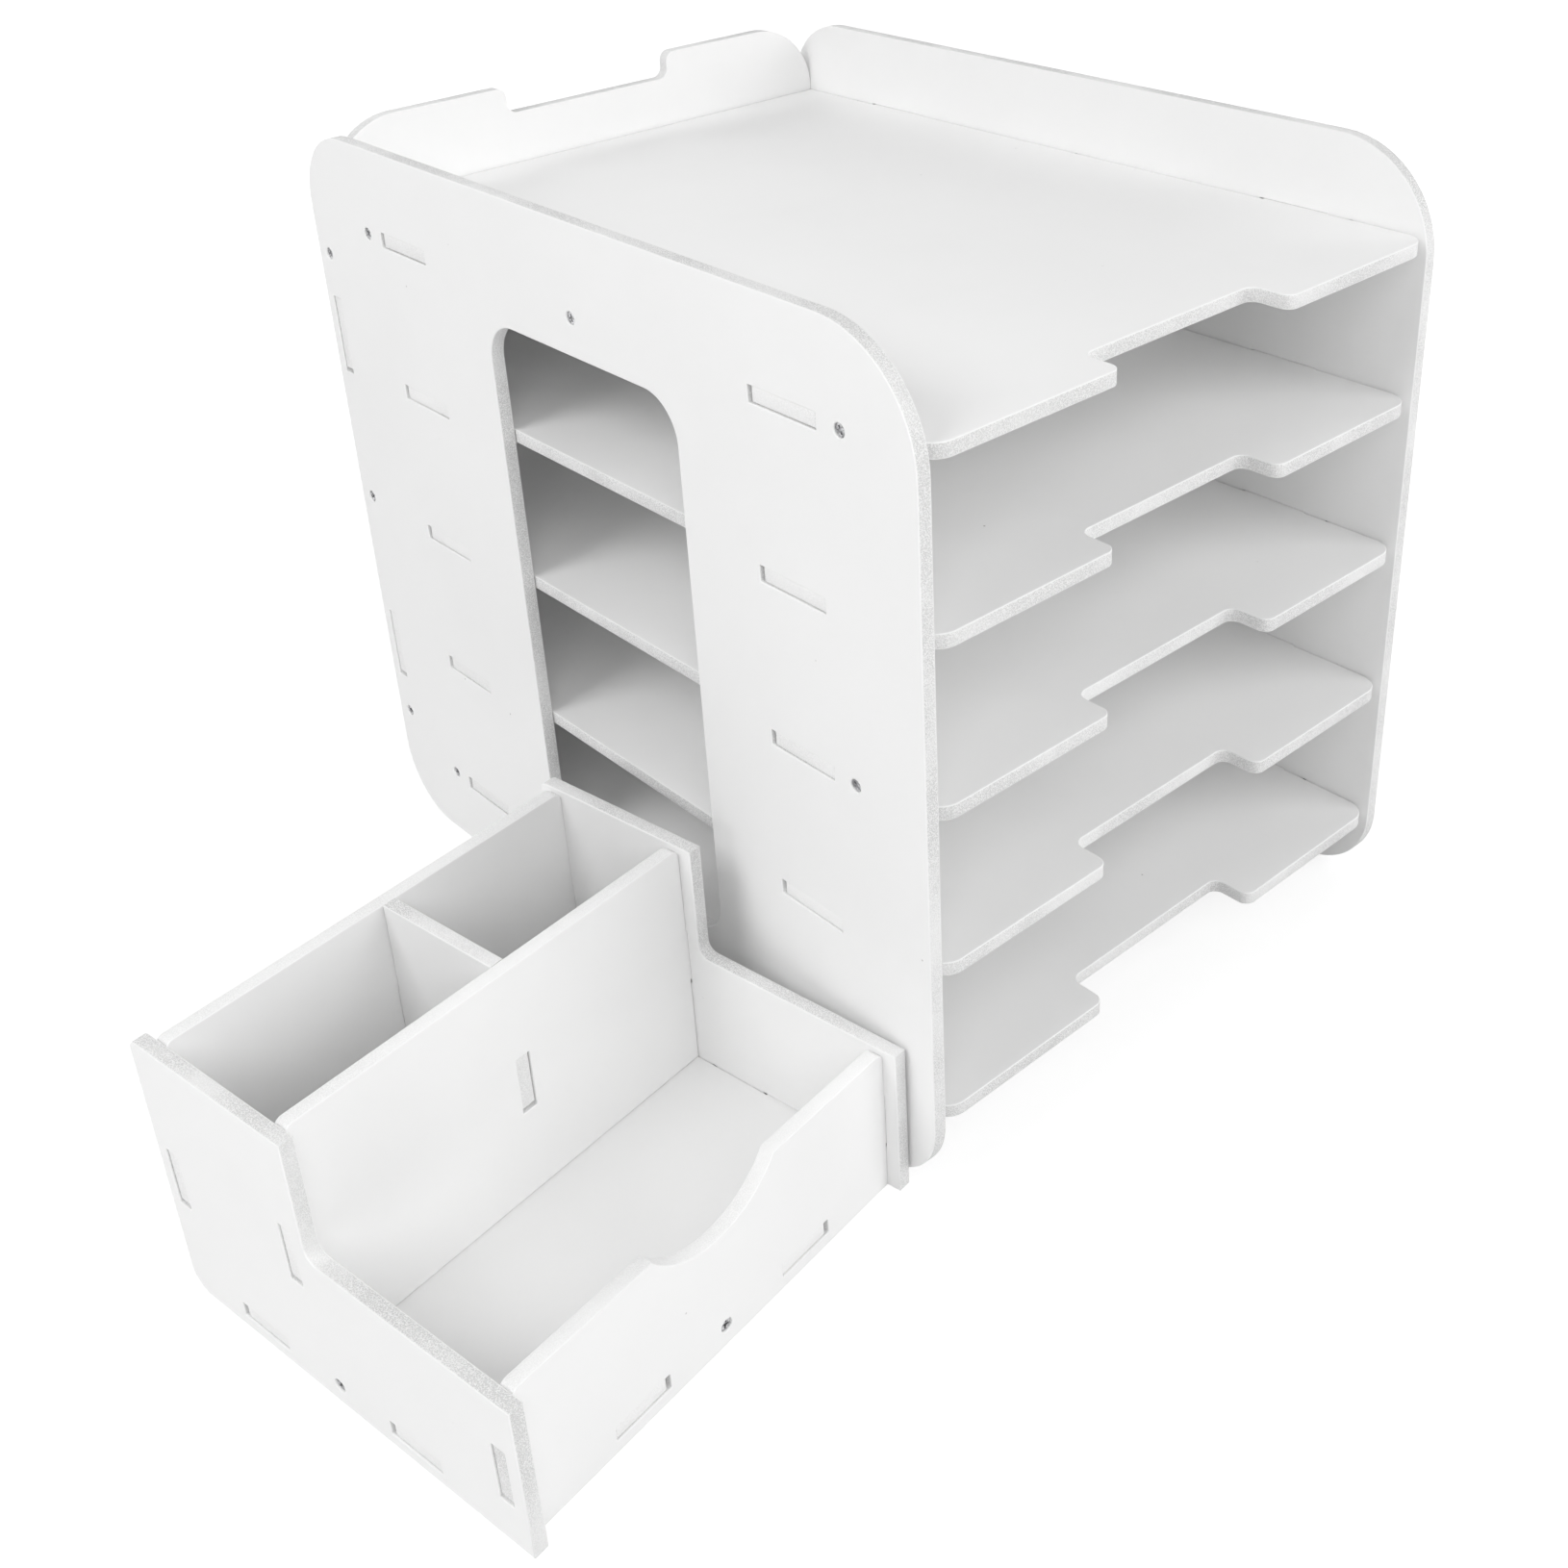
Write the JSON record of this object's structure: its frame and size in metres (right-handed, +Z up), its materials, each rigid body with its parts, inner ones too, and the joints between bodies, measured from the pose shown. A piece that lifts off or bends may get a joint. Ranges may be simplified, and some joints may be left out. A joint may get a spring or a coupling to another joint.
{
  "type": "letter rack with pen box",
  "caption": "Open-fronted desk rack with shelves for sheets and envelopes, windowed sides and finger notches, with a separate stepped pen and note box beside it.",
  "frame": {"origin": "middle of the whole part's footprint, on the desk", "axes": "+X from the pen box towards the rack's right side panel, +Y from the rack's open front to its back panel, +Z up"},
  "size_m": [0.4228, 0.334, 0.29],
  "materials": {
    "foam_board": "matt expanded PVC board, smooth faces, open-celled cut edges",
    "screw_steel": "dark plain steel"
  },
  "bodies": {
    "rack": {"left_side_panel": "foam_board", "right_side_panel": "foam_board", "back_panel": "foam_board", "top_shelf": "foam_board", "upper_shelf": "foam_board", "middle_shelf": "foam_board", "lower_shelf": "foam_board", "bottom_shelf": "foam_board", "left_shelf_screws": "screw_steel", "right_shelf_screws": "screw_steel", "left_back_screws": "screw_steel", "right_back_screws": "screw_steel"},
    "pen_box": {"box_outer_end": "foam_board", "box_inner_end": "foam_board", "box_tall_wall": "foam_board", "box_middle_wall": "foam_board", "box_low_wall": "foam_board", "box_divider": "foam_board", "box_floor": "foam_board", "box_end_screws": "screw_steel", "box_wall_screws": "screw_steel"}
  },
  "joints": [
    {"name": "pen_box_slide", "type": "slide", "parent": "rack", "child": "pen_box", "axis": [-0.9877, -0.1564, 0], "range_m": [0, 0.12]}
  ]
}
